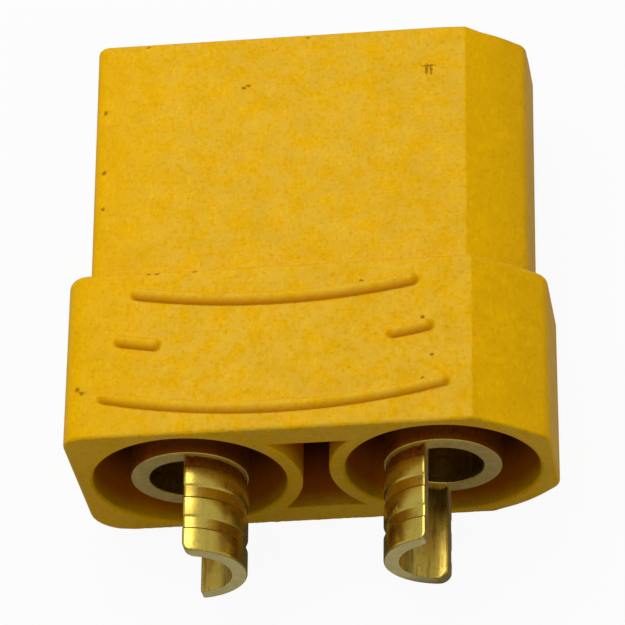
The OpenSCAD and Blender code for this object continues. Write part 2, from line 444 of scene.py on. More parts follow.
GRIP_LEN = LEDGE - WIRE_FACE
GRIP_WALL_END = GRIP_LEN - LEDGE_R
HOUSING_LEN = MATING_FACE - WIRE_FACE
BAR_ROWS = BAR_HALF_W * np.array([-1.02, -0.98, -0.93, -0.84, -0.7, -0.5, -0.25, 0])
FIRST_ROWS_END = 0.68
LAST_ROW_GAP = 0.12
BOW_REACH = ((4.0, 5.4), (0.95, 0.66))
BOW_SHARE = ((WIRE_EDGE_R, 0.7, 6.5, GRIP_WALL_END), (0, 1, 1, 0))


def grip_rows():
    """Lengths along the grip at which its skin has a row, close together at the bars."""
    rows = [np.linspace(WIRE_EDGE_R, FIRST_ROWS_END, WIRE_ROWS)]
    lows = (LOW_BAR, MIDDLE_BAR, HIGH_BAR, GRIP_WALL_END)
    for low, following in zip(lows, lows[1:]):
        rows.append(low + BAR_ROWS)
        rows.append(low - BAR_ROWS[-2::-1])
        rows.append(np.linspace(low + BAR_CLEAR, following - BAR_CLEAR, ROWS_BETWEEN_BARS))
    rows.append([GRIP_WALL_END - LAST_ROW_GAP, GRIP_WALL_END])
    return np.concatenate(rows)


def bowed(row, x):
    """Length along the grip of each point of a row, bowed as the bars are."""
    reach = np.interp(row, *BOW_REACH)
    share = np.interp(row, *BOW_SHARE)
    return row + share * np.minimum(bow(x), reach)


def on_frame(flat, along):
    """Points of the part from section points (x, z) and lengths along the housing."""
    return np.column_stack([flat[:, 0], WIRE_FACE + along, AXIS_HEIGHT + flat[:, 1]])


def grip_wall_ring(row):
    """One row of the grip's wall, with the raised bars on its broad faces."""
    start, end = grip_outline(0), grip_outline(GRIP_LEN * GRIP_DRAFT)
    along = bowed(row, start[:, 0])
    flat = start + (end - start) * (along / GRIP_LEN)[:, None]
    broad = np.abs(flat[:, 1]) > GRIP_T / 2 - GRIP_LEN * GRIP_DRAFT - 0.02
    rise = bar_height(flat[:, 0], along)
    lifted = np.sign(flat[:, 1]) * (GRIP_T / 2 + rise)
    flat[:, 1] = np.where(broad & (rise > 0), lifted, flat[:, 1])
    return on_frame(flat, along)


def wire_edge_rings():
    """The rounded edge round the wire face, uneven along the broad faces."""
    base = grip_outline(0)
    inner = grip_outline(WIRE_EDGE_R)
    rings = []
    for a in quarter(ROUND_STEPS):
        share = 1 - math.sin(a)
        flat = base + (inner - base) * share
        along = np.full(len(base), WIRE_EDGE_R * (1 - math.cos(a)))
        rings.append(on_frame(flat, along))
    for ring in rings[:-1]:
        flat_ring = ring * (1, 0, 1)
        uneven = rough(flat_ring, WAVE_SIZE) + 0.6 * rough(flat_ring, RIPPLE_SIZE, 3.0)
        broad = np.abs(ring[:, 2] - AXIS_HEIGHT) > GRIP_T / 2 - BROAD_DEPTH
        pull = np.where(broad, WIRE_EDGE_UNEVEN * uneven - WIRE_EDGE_PULL, 0)
        ring[:, 2] += np.sign(ring[:, 2] - AXIS_HEIGHT) * pull
    return rings


def ease(value, low, high):
    """Smooth step from 0 at low to 1 at high."""
    share = np.clip((value - low) / (high - low), 0, 1)
    return share * share * (3 - 2 * share)


def tip_sag(points):
    """How far the nose's tip falls short along its upper chamfer, at each point."""
    x, y, z = points.T
    edge = GRIP_W / 2 - CHAMFER_W - 0.3
    across = 0.3 * ease(x, edge - 1.2, edge) + 0.7 * ease(x, edge, edge + 0.3)
    upper = ease(z, CONTACT_HEIGHT + 0.5, CONTACT_HEIGHT + 1.5)
    return TIP_SAG * across * upper * ease(y, MATING_FACE - TIP_SAG_LEN, MATING_FACE)


def level_ring(flat, along):
    """A ring whose points all lie at one length along the housing."""
    return on_frame(flat, np.full(len(flat), along))


def ledge_rings():
    """The rounded rim of the grip, then the ledge and the foot of the nose."""
    grip_inset = GRIP_LEN * GRIP_DRAFT
    rings = []
    for a in quarter(LEDGE_STEPS)[1:]:
        along = GRIP_LEN - LEDGE_R * (1 - math.sin(a))
        rings.append(level_ring(grip_outline(grip_inset + LEDGE_R * (1 - math.cos(a))), along))
    inner = nose_outline(NOSE_INSET + GRIP_LEN * NOSE_DRAFT)
    outer = grip_outline(grip_inset + LEDGE_R)
    for a in quarter(ROUND_STEPS):
        share = 1 - FOOT_R / (NOSE_INSET - LEDGE_R) * (1 - math.sin(a))
        along = GRIP_LEN + FOOT_R * (1 - math.cos(a))
        rings.append(level_ring(outer + (inner - outer) * share, along))
    return rings


def nose_rings():
    """The wall of the nose and its rounded tip."""
    rings = []
    for along in np.linspace(GRIP_LEN + FOOT_R, HOUSING_LEN - TIP_R, NOSE_ROWS)[1:]:
        rings.append(level_ring(nose_outline(NOSE_INSET + along * NOSE_DRAFT), along))
    tip_inset = NOSE_INSET + HOUSING_LEN * NOSE_DRAFT
    for a in quarter(TIP_STEPS)[1:]:
        along = HOUSING_LEN - TIP_R * (1 - math.sin(a))
        rings.append(level_ring(nose_outline(tip_inset + TIP_R * (1 - math.cos(a))), along))
    return rings


def outer_skin(shell):
    """The outside of the housing; returns its rims on the wire face and the mating face."""
    rings = wire_edge_rings()[:-1]
    rings += [grip_wall_ring(row) for row in grip_rows()]
    rings += ledge_rings() + nose_rings()
    for ring in rings:
        ring[:, 1] -= tip_sag(ring)
    numbers = shell.loft(rings, SKIN)
    return numbers[0], numbers[-1]


def contact_hole(shell, side):
    """Well, seats and bore for one contact; returns the rims on the two end faces."""
    profile = []
    for a in quarter(ROUND_STEPS):
        radius = WELL_R + WELL_RIM_R * (1 - math.sin(a))
        profile.append((radius, WIRE_FACE + WELL_RIM_R * (1 - math.cos(a))))
    floor = WIRE_FACE + WELL_DEPTH
    for y in np.linspace(WIRE_FACE + WELL_RIM_R, floor - WELL_FLOOR_R, HOLE_ROWS)[1:]:
        profile.append((WELL_R, y))
    for a in quarter(ROUND_STEPS)[1:]:
        radius = WELL_R - WELL_FLOOR_R * (1 - math.cos(a))
        profile.append((radius, floor - WELL_FLOOR_R * (1 - math.sin(a))))
    seat = floor + COLLAR_LEN
    profile += [
        (COLLAR_SEAT_R + COLLAR_SEAT_BREAK, floor),
        (COLLAR_SEAT_R, floor + COLLAR_SEAT_BREAK),
        (COLLAR_SEAT_R, seat),
        (BARREL_SEAT_R, seat),
        (BARREL_SEAT_R, MATING_FACE - BARREL_SEAT_BREAK),
        (BARREL_SEAT_R + BARREL_SEAT_BREAK, MATING_FACE),
    ]
    centre_x = side * CONTACT_X
    rings = [circle_ring(centre_x, CONTACT_HEIGHT, radius, y) for radius, y in profile]
    numbers = shell.loft(rings, HOLLOW)
    return numbers[0], numbers[-1]


def pocket_ring(grown, y):
    """Outline of the pocket between the wells, grown outwards, at one y."""
    half = POCKET_T / 2 + grown
    radius = WELL_R + WEB_T - grown
    lean = math.asin(half / radius)
    turn = np.linspace(-lean, lean, POCKET_SIDE_STEPS + 1)
    side = np.column_stack([CONTACT_X - radius * np.cos(turn), radius * np.sin(turn)])
    top = np.linspace(side[-1], side[-1] * (-1, 1), POCKET_TOP_STEPS + 1)[1:-1]
    bottom = np.linspace(side[0] * (-1, 1), side[0], POCKET_TOP_STEPS + 1)[1:-1]
    flat = np.concatenate([side, top, side[::-1] * (-1, 1), bottom])
    return np.column_stack([flat[:, 0], np.full(len(flat), y), CONTACT_HEIGHT + flat[:, 1]])


def pocket(shell):
    """The pocket between the wells; returns its rim on the wire face."""
    rings = []
    for a in quarter(ROUND_STEPS):
        grown = POCKET_RIM_R * (1 - math.sin(a))
        rings.append(pocket_ring(grown, WIRE_FACE + POCKET_RIM_R * (1 - math.cos(a))))
    for y in np.linspace(WIRE_FACE + POCKET_RIM_R, WIRE_FACE + WELL_DEPTH, HOLE_ROWS)[1:]:
        rings.append(pocket_ring(0, y))
    numbers = shell.loft(rings, HOLLOW)
    shell.fill_face(numbers[-1], [], HOLLOW)
    return numbers[0]


def make_housing(materials):
    """The housing as one closed mesh."""
    shell = Shell()
    wire_rim, mating_rim = outer_skin(shell)
    square = contact_hole(shell, -1)
    chamfered = contact_hole(shell, 1)
    pocket_rim = pocket(shell)
    # Share of painted shade on the bars' flanks at each point.
    shell.flanks = flank_painted_shade_share(np.concatenate(shell.points))
    shell.fill_face(wire_rim, [square[0], chamfered[0], pocket_rim], SKIN)
    shell.fill_face(mating_rim, [square[1], chamfered[1]], SKIN)
    return shell.to_object("housing_skin", materials)


# ==== Contacts ====

TURNED, CUT = 0, 1


def lathe(shell, profile, slots):
    """Turns a closed profile of (radius, y) round the axis; one slot for each span."""
    rings = [shell.add_points(circle_ring(0, 0, radius, y)) for radius, y in profile]
    for i, slot in enumerate(slots):
        shell.bridge(rings[i], rings[(i + 1) % len(rings)], slot)


def contact_barrel(shell):
    """Cup, collar and socket barrel of a contact, turned about the Y axis."""
    bevel = EDGE_BREAK
    collar = WIRE_FACE + WELL_DEPTH
    seat = collar + COLLAR_LEN
    cup_floor = CUP_MOUTH + CUP_DEPTH
    socket_floor = SOCKET_RIM - SOCKET_DEPTH - LEAD_IN
    point = math.tan(math.radians(DRILL_POINT))
    spans = [
        (CUP_R + bevel, CUP_MOUTH, CUT),
        (CUP_OUTER_R - bevel, CUP_MOUTH, CUT),
        (CUP_OUTER_R - 0.3 * bevel, CUP_MOUTH + 0.3 * bevel, TURNED),
        (CUP_OUTER_R, CUP_MOUTH + bevel, TURNED),
        (CUP_OUTER_R, collar, TURNED),
        (COLLAR_R - bevel, collar, TURNED),
        (COLLAR_R, collar + bevel, TURNED),
        (COLLAR_R, seat - bevel, TURNED),
        (COLLAR_R - bevel, seat, TURNED),
        (BARREL_R, seat, TURNED),
        (BARREL_R, SOCKET_RIM - bevel, TURNED),
        (BARREL_R - bevel, SOCKET_RIM, CUT),
        (SOCKET_R + LEAD_IN, SOCKET_RIM, TURNED),
        (SOCKET_R, SOCKET_RIM - LEAD_IN, TURNED),
        (SOCKET_R, socket_floor, TURNED),
        (DRILL_TIP_R, socket_floor - SOCKET_R * point, TURNED),
        (DRILL_TIP_R, cup_floor + CUP_R * point, TURNED),
        (CUP_R, cup_floor, TURNED),
        (CUP_R, CUP_MOUTH + bevel, TURNED),
        (CUP_R + 0.3 * bevel, CUP_MOUTH + 0.3 * bevel, TURNED),
    ]
    lathe(shell, [(r, y) for r, y, _ in spans], [slot for _, _, slot in spans])


def tongue_section(outer_r, high_cut, low_cut):
    """Section of the half-round tongue: points (x, z), and the slot of each span."""
    bevel = EDGE_BREAK

    def end_turn(radius, cut):
        return math.acos((cut + bevel) / radius)

    def edge(radius, cut, step):
        return math.sqrt(radius**2 - cut**2) + step

    inner_ends = -end_turn(TONGUE_INNER_R, low_cut), end_turn(TONGUE_INNER_R, high_cut)
    outer = np.linspace(end_turn(outer_r, high_cut), -end_turn(outer_r, low_cut), OUTER_STEPS + 1)
    inner = np.linspace(*inner_ends, INNER_STEPS + 1)
    arc_out = outer_r * np.column_stack([np.cos(outer), np.sin(outer)])
    arc_in = TONGUE_INNER_R * np.column_stack([np.cos(inner), np.sin(inner)])
    low = np.array([
        (low_cut, -edge(outer_r, low_cut, -bevel)),
        (low_cut, -edge(TONGUE_INNER_R, low_cut, bevel)),
    ])
    high = np.array([
        (high_cut, edge(TONGUE_INNER_R, high_cut, bevel)),
        (high_cut, edge(outer_r, high_cut, -bevel)),
    ])
    points = np.concatenate([arc_out, low, arc_in, high])
    around_outer, around_inner = [TURNED] * (OUTER_STEPS + 1), [TURNED] * (INNER_STEPS + 1)
    slots = around_outer + [CUT] + around_inner + [TURNED] + [CUT] + [TURNED]
    return points, slots


def groove_profile():
    """Outer radius of the tongue along its length, from its root to its tip."""
    root = CUP_MOUTH + 0.25
    stations = [(root, CUP_OUTER_R - GROOVE_DEPTH)]
    for i in range(GROOVE_COUNT):
        near = CUP_MOUTH - i * GROOVE_PITCH
        far = near - GROOVE_W
        if i:
            stations += [
                (near + 0.01, CUP_OUTER_R),
                (near - 0.01, CUP_OUTER_R - 1.5 * GROOVE_DEPTH),
                (near - 0.09, CUP_OUTER_R - GROOVE_DEPTH),
            ]
        stations += [
            (far + 0.06, CUP_OUTER_R - GROOVE_DEPTH),
            (far, CUP_OUTER_R - 0.3 * GROOVE_DEPTH),
            (far - 0.05, CUP_OUTER_R),
        ]
    stations += [(TONGUE_TIP + rise, CUP_OUTER_R) for rise in TIP_ROW_RISES]
    stations += [(TONGUE_TIP + 0.03, CUP_OUTER_R - 0.015), (TONGUE_TIP, CUP_OUTER_R - 0.05)]
    return stations


def tip_cut(y, radius):
    """How far the tongue is cut away at y, where its arm ends in a corner of that radius."""
    into = np.clip(TONGUE_TIP + radius - y, 0, radius)
    return TONGUE_CUT + radius - math.sqrt(radius**2 - into**2)


def contact_tongue(shell, node):
    """The half-round tongue in front of the cup, with its shallow turned grooves."""
    rings = []
    for y, outer_r in groove_profile():
        cuts = [tip_cut(y, radius) for radius in TIP_ROUND[node]]
        flat, slots = tongue_section(outer_r, *cuts)
        below = np.clip(-flat[:, 1] / CUP_OUTER_R, 0, 1)
        slant = TIP_SLANT[node] * (1 - ease(y, TONGUE_TIP, TONGUE_TIP + TIP_SLANT_LEN))
        points = np.column_stack([flat[:, 0], y + slant * below, flat[:, 1]])
        rings.append(shell.add_points(points))
    for ring_a, ring_b in zip(rings, rings[1:]):
        shell.bridge(ring_a, ring_b, slots)
    shell.fill_face(rings[0], [], CUT)
    shell.fill_face(rings[-1], [], CUT)


def make_contact(node, side, materials):
    """One contact, with its tongue on the side of the other contact."""
    shell = Shell()
    contact_barrel(shell)
    contact_tongue(shell, node)
    turn = math.radians(TONGUE_TURN[node])
    points = np.concatenate(shell.points)
    points[:, 0] *= -side
    x, z = points[:, 0].copy(), points[:, 2].copy()
    points[:, 0] = x * math.cos(turn) + z * math.sin(turn) + side * CONTACT_X
    points[:, 2] = z * math.cos(turn) - x * math.sin(turn) + CONTACT_HEIGHT
    shell.points = [points]
    return shell.to_object(node + "_turned", materials)


# ==== Materials ====

# ---- Plastic: its own colours, a painted sheen and painted shade on the bars' flanks, then tints that multiply them, the last two painted shade in the hollows ----
RICH = (0.755, 0.40, 0.0002, 1)
# Painted sheen: a paler, bluer amber on faces that do not lean like the chamfers.
SHEEN_PAINT_COLOUR = (0.73, 0.425, 0.024, 1)
STREAK = (0.85, 0.49, 0.002, 1)
BROWN = (0.56, 0.27, 0.0005, 1)
PITTED = (0.42, 0.19, 0.001, 1)
# Painted shade on the bars' flanks that face the wire end.
FLANK_PAINTED_SHADE = (0.66, 0.23, 0.0002, 1)
WORN = (0.20, 0.085, 0.001, 1)
DULL_TONE = (0.9, 0.89, 0.9, 1)
FULL_TONE = (1.0, 1.0, 1.0, 1)
# Painted shade in the hollows: redder near the rims, then darker deeper in.
NEAR_SHADE_TINT = (0.88, 0.46, 0.5, 1)
DEEP_SHADE_TINT = (0.10, 0.05, 0.4, 1)
PLASTIC_SPECULAR = 0.035
PLASTIC_SHEEN = 0.16
SHEEN_ROUGHNESS = 0.3
SHEEN_TINT = (1.0, 0.9, 0.7, 1)

# ---- Brass, with painted shade and painted reflection in some of its colours ----
BRIGHT_BRASS = (0.85, 0.66, 0.12, 1)
DEEPER_BRASS = (0.78, 0.57, 0.09, 1)
STAINED_BRASS = (0.50, 0.36, 0.09, 1)
BORE_BRASS = (0.58, 0.34, 0.06, 1)
TARNISH = (0.30, 0.22, 0.045, 1)
# Painted shade on the cup's outside, down in the well.
WELL_SHADE_TINT = (0.62, 0.68, 1.0, 1)
# Cut brass along the tongue, at the mouth and at the tip; the last two carry painted reflection,
# and the mouth's painted shade too.
SAWN_BRASS = (0.42, 0.32, 0.11, 1), (0.33, 0.24, 0.08, 1)
MOUTH_BRASS_PAINTED = (0.72, 0.53, 0.16, 1), (0.59, 0.42, 0.12, 1)
TIP_BRASS_PAINTED = (0.98, 0.83, 0.35, 1), (0.86, 0.71, 0.29, 1)

# ---- Surroundings: a pale floor (in metres) and sky, and the greyer room that metal mirrors ----
LIT_WORLD = 0.31
GLOSSY_WORLD = 0.45
LIT_FLOOR = (0.56, 0.56, 0.56, 1)
MIRRORED_FLOOR = (0.2, 0.2, 0.2, 1)
FLOOR_GLOW = 0.94
FLOOR_HALF = 2.0


class Nodes:
    """A material's node tree, with short calls for the nodes that the finishes use."""

    def __init__(self, name):
        self.material = bpy.data.materials.new(name)
        self.material.use_nodes = True
        self.tree = self.material.node_tree
        self.shader = self.tree.nodes["Principled BSDF"]
        coordinates = self.tree.nodes.new("ShaderNodeTexCoord")
        self.place = coordinates.outputs["Object"]
        self.facing = coordinates.outputs["Normal"]

    def add(self, kind, settings=None, **inputs):
        """Adds a node; inputs that are sockets are linked, the others are set."""
        node = self.tree.nodes.new("ShaderNode" + kind)
        for key, value in (settings or {}).items():
            setattr(node, key, value)
        for key, value in inputs.items():
            self.join(node.inputs[key.replace("_", " ")], value)
        return node

    def join(self, socket, value):
        """Links a socket to another, or sets its value."""
        if isinstance(value, bpy.types.NodeSocket):
            self.tree.links.new(value, socket)
        else:
            socket.default_value = value

    def noise(self, feature, detail=2.0, roughness=0.5, place=None):
        """Noise with features of that size in millimetres, about 0 to 1."""
        node = self.add(
            "TexNoise",
            Vector=place or self.place,
            Scale=1 / (feature * MM),
            Detail=detail,
            Roughness=roughness,
        )
        return node.outputs["Fac"]

    def vector(self, operation, a, b=(0, 0, 0), result="Vector"):
        """One sum on a vector and a constant one."""
        node = self.add("VectorMath", {"operation": operation})
        self.join(node.inputs[0], a)
        node.inputs[1].default_value = b
        return node.outputs[result]

    def stretched(self, x, y, z):
        """Object coordinates scaled along each axis, for drawn-out features."""
        return self.vector("MULTIPLY", self.place, (x, y, z))

    def ramp(self, value, low, high, to_low=0.0, to_high=1.0):
        """Value taken smoothly from one range to another, held at both ends."""
        node = self.add("MapRange", {"interpolation_type": "SMOOTHSTEP"}, Value=value)
        node.inputs["From Min"].default_value = low
        node.inputs["From Max"].default_value = high
        node.inputs["To Min"].default_value = to_low
        node.inputs["To Max"].default_value = to_high
        return node.outputs["Result"]

    def math(self, operation, a, b=None):
        """One sum on two values."""
        node = self.add("Math", {"operation": operation})
        self.join(node.inputs[0], a)
        if b is not None:
            self.join(node.inputs[1], b)
        return node.outputs["Value"]

    def mix(self, share, a, b, blend="MIX"):
        """Mixes two colours."""
        node = self.add("Mix", {"data_type": "RGBA", "blend_type": blend})
        self.join(node.inputs[0], share)
        self.join(node.inputs[6], a)
        self.join(node.inputs[7], b)
        return node.outputs[2]

    def bump(self, height, distance, strength=1.0, before=None):
        """Bump from a height between 0 and 1, as deep as distance in millimetres."""
        node = self.add("Bump", Height=height, Distance=distance * MM, Strength=strength)
        if before is not None:
            self.join(node.inputs["Normal"], before)
        return node.outputs["Normal"]


def wear_marks():
    """Small dark marks on the upper faces: x, length along the housing, and half sizes."""
    square = HOUSING_LOW[0]
    chamfered = HOUSING_HIGH[0] - CHAMFER_W
    scuff_x = chamfered - 1.9
    scuff_along = HOUSING_LEN - 2.0
    found = [(scuff_x, scuff_along, 0.26, 0.06)]
    found.append((scuff_x - 0.1, scuff_along - 0.2, 0.06, 0.26))
    found.append((scuff_x + 0.1, scuff_along - 0.2, 0.06, 0.22))
    for from_tip in (3.4, 6.4, 8.2):
        found.append((square + NOSE_INSET + 0.5, HOUSING_LEN - from_tip, 0.08, 0.1))
    for from_square in (3.6, 4.0, 5.6):
        found.append((square + from_square, GRIP_LEN - 0.2, 0.1, 0.05))
    for x in (square + 3.2, 0.0):
        found.append((x, HOUSING_LEN - 0.2, 0.1, 0.05))
    for from_chamfer, along in ((2.1, 4.9), (2.1, 2.0), (1.7, 3.1), (4.7, 6.8)):
        found.append((chamfered - from_chamfer, along, 0.09, 0.07))
    for shift in (-0.1, 0.1):
        found.append((square + 0.8 + shift, 2.25 - shift, 0.1, 0.1))
        found.append((shift - 2.7, HOUSING_LEN - 2.5 + shift / 2, 0.09, 0.06))
    return found


def marks(n, irregular):
    """How strongly each point lies in one of the marks that use has left on the upper faces."""
    total = None
    for x, along, half_w, half_l in wear_marks():
        centre = (x * MM, (WIRE_FACE + along) * MM, 0)
        apart = n.vector("SUBTRACT", n.stretched(1, 1, 0), centre)
        scaled = n.vector("MULTIPLY", apart, (1 / (half_w * MM), 1 / (half_l * MM), 0))
        off = n.vector("LENGTH", scaled, result="Value")
        total = off if total is None else n.math("MINIMUM", total, off)
    shaped = n.math("ADD", total, irregular)
    height = n.add("SeparateXYZ", Vector=n.place).outputs["Z"]
    upper = n.math("GREATER_THAN", height, AXIS_HEIGHT * MM)
    return n.math("MULTIPLY", n.ramp(shaped, 1.5, 0.6), upper)


def plastic_colour(n, gloss_and_sheen_patches, mottle):
    """Amber, with a paler painted sheen in patches on faces that do not lean like the chamfers,
    weaker towards the square end, streaked and unevenly deep.
    """
    facing = n.add("SeparateXYZ", Vector=n.facing)
    leaning = n.math("ABSOLUTE", n.math("MULTIPLY", facing.outputs["X"], facing.outputs["Z"]))
    across = n.add("SeparateXYZ", Vector=n.place).outputs["X"]
    # Painted sheen in patches, kept off the chamfers and weaker towards the square end.
    painted_sheen = n.math("MULTIPLY", n.ramp(gloss_and_sheen_patches, 0.38, 0.6), n.ramp(leaning, 0.3, 0.1))
    painted_sheen = n.math("MULTIPLY", painted_sheen, n.ramp(across, -9 * MM, -5 * MM, 0.3, 1.0))
    streaks = n.noise(0.13, 3, 0.6, n.stretched(1, 0.35, 1))
    tone = n.noise(1.3, 6, 0.78)
    colour = n.mix(painted_sheen, RICH, SHEEN_PAINT_COLOUR)
    colour = n.mix(n.ramp(streaks, 0.5, 0.8, 0, 0.9), colour, STREAK)
    colour = n.mix(n.ramp(mottle, 0.5, 0.22, 0, 0.6), colour, BROWN)
    return n.mix(1.0, colour, n.mix(n.ramp(tone, 0.3, 0.7), DULL_TONE, FULL_TONE), "MULTIPLY")


def pits(n):
    """How strongly each point lies in one of the scattered fine pits."""
    cells = n.add("TexVoronoi", Vector=n.place, Scale=1 / (0.75 * MM))
    pick = n.ramp(n.noise(1.3, 2), 0.55, 0.62)
    return n.math("MULTIPLY", n.ramp(cells.outputs["Distance"], 0.13, 0.05), pick)


def painted_hollow_shade(n, colour):
    """Painted shade: the colour redder, then darker, with depth from the nearer end face."""
    along = n.add("SeparateXYZ", Vector=n.place).outputs["Y"]
    from_wire = n.math("SUBTRACT", along, WIRE_FACE * MM)
    depth = n.math("MINIMUM", from_wire, n.math("SUBTRACT", MATING_FACE * MM, along))
    near = n.ramp(depth, 0.05 * MM, 1.0 * MM)
    deep = n.ramp(depth, 1.2 * MM, 4.0 * MM)
    colour = n.mix(near, colour, n.mix(1.0, colour, NEAR_SHADE_TINT, "MULTIPLY"))
    return n.mix(deep, colour, n.mix(1.0, colour, DEEP_SHADE_TINT, "MULTIPLY"))


def on_skin(n, colour, grain):
    """The colour with painted shade on the raised bars' flanks that face the wire end, and with
    the marks of use.
    """
    flank = n.add("Attribute", {"attribute_name": FLANK}).outputs["Fac"]
    # Painted shade: the bars' flanks that face the wire end are darkened to orange-brown.
    colour = n.mix(n.math("MULTIPLY", flank, 0.8), colour, FLANK_PAINTED_SHADE)
    worn = marks(n, n.math("MULTIPLY", n.math("SUBTRACT", grain, 0.5), 2.0))
    return n.mix(n.math("MULTIPLY", worn, 0.75), colour, WORN)


def housing_plastic(name, hollow=False):
    """Amber moulded plastic: mottled, with a painted sheen in patches, finely pitted; painted
    shade on the bars' flanks; painted shade, redder then darker, deep in a hollow.
    """
    n = Nodes(name)
    patches = n.noise(0.8, 3, 0.6)
    mottle = n.noise(0.2, 4, 0.7)
    grain = n.noise(0.09, 2)
    # Patches that are glossier and carry the painted sheen.
    gloss_and_sheen_patches = n.math("ADD", n.math("MULTIPLY", patches, 0.6), n.math("MULTIPLY", mottle, 0.4))
    spot = pits(n)
    colour = n.mix(n.math("MULTIPLY", spot, 0.3), plastic_colour(n, gloss_and_sheen_patches, mottle), PITTED)
    # A hollow gets painted shade by depth; the skin gets painted shade on the bars' flanks and
    # the marks of use.
    colour = painted_hollow_shade(n, colour) if hollow else on_skin(n, colour, grain)
    n.join(n.shader.inputs["Base Color"], colour)
    n.join(n.shader.inputs["Roughness"], n.ramp(gloss_and_sheen_patches, 0.38, 0.62, 0.56, 0.34))
    n.shader.inputs["Specular IOR Level"].default_value = 0.0 if hollow else PLASTIC_SPECULAR
    n.shader.inputs["Sheen Weight"].default_value = 0.0 if hollow else PLASTIC_SHEEN
    n.shader.inputs["Sheen Roughness"].default_value = SHEEN_ROUGHNESS
    n.shader.inputs["Sheen Tint"].default_value = SHEEN_TINT
    coarse = n.bump(mottle, 0.03, 0.7)
    fined = n.bump(grain, 0.01, 0.5, coarse)
    n.join(n.shader.inputs["Normal"], n.bump(n.math("SUBTRACT", 1.0, spot), 0.02, 0.6, fined))
    return n.material


def inside_bore(n, split):
    """1 where a point lies nearer its contact's axis than the tongue's inside does."""
    aside = n.math("SUBTRACT", n.math("ABSOLUTE", split.outputs["X"]), CONTACT_X * MM)
    above = n.math("SUBTRACT", split.outputs["Z"], CONTACT_HEIGHT * MM)
    offset = n.add("CombineXYZ", X=aside, Y=above).outputs["Vector"]
    from_axis = n.vector("LENGTH", offset, result="Value")
    return n.ramp(from_axis, (TONGUE_INNER_R + 0.25) * MM, (TONGUE_INNER_R + 0.05) * MM)


def tarnished(n, colour, along, bore):
    """The colour with brown streaks along the contact, most of them inside the open tongue."""
    open_part = n.ramp(along, (CUP_MOUTH + 0.3) * MM, (CUP_MOUTH - 0.3) * MM)
    inner_tongue = n.math("MULTIPLY", bore, open_part)
    colour = n.mix(n.math("MULTIPLY", inner_tongue, 0.18), colour, BORE_BRASS)
    drawn = n.noise(0.16, 3, 0.6, n.stretched(1, 0.12, 1))
    share = n.math("MULTIPLY", bore, n.ramp(open_part, 0, 1, 0.15, 0.6))
    streaks = n.math("MULTIPLY", n.ramp(drawn, 0.48, 0.64), n.math("MAXIMUM", share, 0.12))
    return n.mix(streaks, colour, TARNISH)


def painted_shade_in_well(n, colour, along, bore):
    """Painted shade: the colour darker and cooler on the cup's outside, down in the well."""
    floor = WIRE_FACE + WELL_DEPTH
    past_mouth = n.ramp(along, (CUP_MOUTH + 0.05) * MM, (CUP_MOUTH + 0.4) * MM)
    before_floor = n.ramp(along, (floor + 0.5) * MM, floor * MM)
    shaded_share = n.math("MULTIPLY", past_mouth, before_floor)
    shaded_share = n.math("MULTIPLY", shaded_share, n.math("SUBTRACT", 1.0, bore))
    return n.mix(shaded_share, colour, n.mix(1.0, colour, WELL_SHADE_TINT, "MULTIPLY"))


def turned_brass():
    """Plated brass off the lathe: bright, with fine rings round the axis and stains, and painted
    shade on the cup's outside down in the well.
    """
    n = Nodes("turned_brass")
    split = n.add("SeparateXYZ", Vector=n.place)
    along = split.outputs["Y"]
    bore = inside_bore(n, split)
    rings = n.noise(0.05, 2, 0.6, n.add("CombineXYZ", Y=along).outputs["Vector"])
    cloud = n.noise(0.9, 3)
    stain = n.noise(0.25, 3, 0.7)
    colour = n.mix(n.ramp(cloud, 0.3, 0.7), BRIGHT_BRASS, DEEPER_BRASS)
    colour = n.mix(n.ramp(stain, 0.55, 0.75, 0, 0.8), colour, STAINED_BRASS)
    colour = tarnished(n, colour, along, bore)
    # Painted shade on the cup's outside down in the well.
    colour = painted_shade_in_well(n, colour, along, bore)
    n.join(n.shader.inputs["Base Color"], colour)
    n.shader.inputs["Metallic"].default_value = 1.0
    n.join(n.shader.inputs["Roughness"], n.ramp(cloud, 0.3, 0.7, 0.22, 0.32))
    ringed = n.bump(rings, 0.004, 0.5)
    n.join(n.shader.inputs["Normal"], n.bump(stain, 0.006, 0.4, ringed))
    return n.material


def cut_brass():
    """Cut brass, dull: sawn along the tongue; lighter at the cup's mouth and lighter still at the
    tip, by painted reflection of the floor in front, the mouth darker than the tip by painted
    shade where it sits back in the well.
    """
    n = Nodes("cut_brass")
    cloud = n.noise(0.5, 3, 0.6)
    grain = n.noise(0.08, 2)
    along = n.add("SeparateXYZ", Vector=n.place).outputs["Y"]
    mouth = n.ramp(along, (CUP_MOUTH - 0.2) * MM, (CUP_MOUTH - 0.05) * MM)
    end = n.ramp(along, (TONGUE_TIP + 0.12) * MM, (TONGUE_TIP + 0.04) * MM)
    patchy = n.ramp(cloud, 0.3, 0.7)
    sawn = n.mix(patchy, *SAWN_BRASS)
    mouth_face_colour = n.mix(patchy, *MOUTH_BRASS_PAINTED)
    tip_face_colour = n.mix(patchy, *TIP_BRASS_PAINTED)
    # Painted reflection lightens the mouth and the tip; painted shade keeps the mouth darker than
    # the tip.
    colour = n.mix(end, n.mix(mouth, sawn, mouth_face_colour), tip_face_colour)
    n.join(n.shader.inputs["Base Color"], colour)
    n.shader.inputs["Metallic"].default_value = 0.5
    n.join(n.shader.inputs["Roughness"], n.ramp(grain, 0.3, 0.7, 0.5, 0.62))
    n.join(n.shader.inputs["Normal"], n.bump(grain, 0.006, 0.5))
    return n.material


